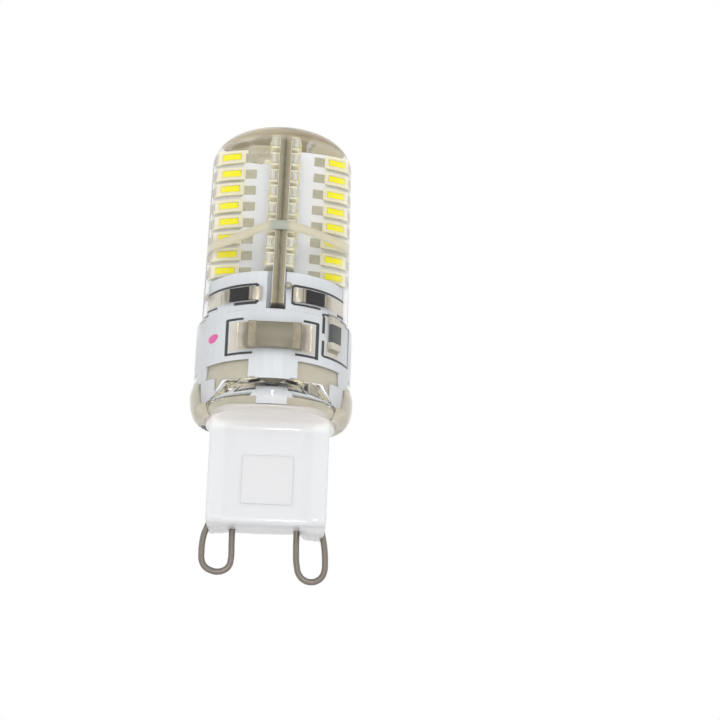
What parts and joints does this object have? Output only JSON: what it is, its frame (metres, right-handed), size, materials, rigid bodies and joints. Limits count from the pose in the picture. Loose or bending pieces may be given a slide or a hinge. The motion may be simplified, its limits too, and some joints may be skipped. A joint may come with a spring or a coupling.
{
  "type": "led capsule bulb",
  "caption": "Two-pin capsule lamp: a cross of LED boards and a rolled driver board potted in clear silicone on a flat white base with two wire pin loops.",
  "frame": {"origin": "centre of the flat bottom face of the base, midway between the two pin loops", "axes": "+Z along the bulb's axis from the pins towards the dome, +X from the left pin loop to the right one, -Y towards the front, a broad face of the base"},
  "size_m": [0.0156, 0.0156, 0.0449],
  "materials": {
    "silicone": "clear soft silicone",
    "base_white": "gloss",
    "tinned_wire": "dull tinned",
    "led_board": "white solder mask",
    "strap": "satin",
    "driver_board": "white solder mask",
    "ceramic": "fired ceramic",
    "resistor": "glazed",
    "diode": "moulded",
    "solder": "bright"
  },
  "bodies": {
    "root": {"silicone_capsule": "silicone", "base_housing": "base_white", "pin_left": "tinned_wire", "pin_right": "tinned_wire", "led_board_wide": "led_board", "led_board_deep": "led_board", "retaining_strap": "strap", "driver_board": "driver_board", "dropper_capacitor": "ceramic", "smoothing_capacitor": "ceramic", "diode_front_left": "diode", "diode_front_right": "diode", "bridge_rectifier": "diode", "bleed_resistor": "resistor", "ballast_resistor_left": "resistor", "ballast_resistor_right": "resistor", "surge_resistor": "resistor", "lead_wire_left": "tinned_wire", "lead_wire_right": "tinned_wire", "lead_solder_left": "solder", "lead_solder_right": "solder", "fin_solder_front": "solder", "fin_solder_right": "solder", "fin_solder_rear": "solder", "fin_solder_left": "solder"}
  },
  "joints": []
}
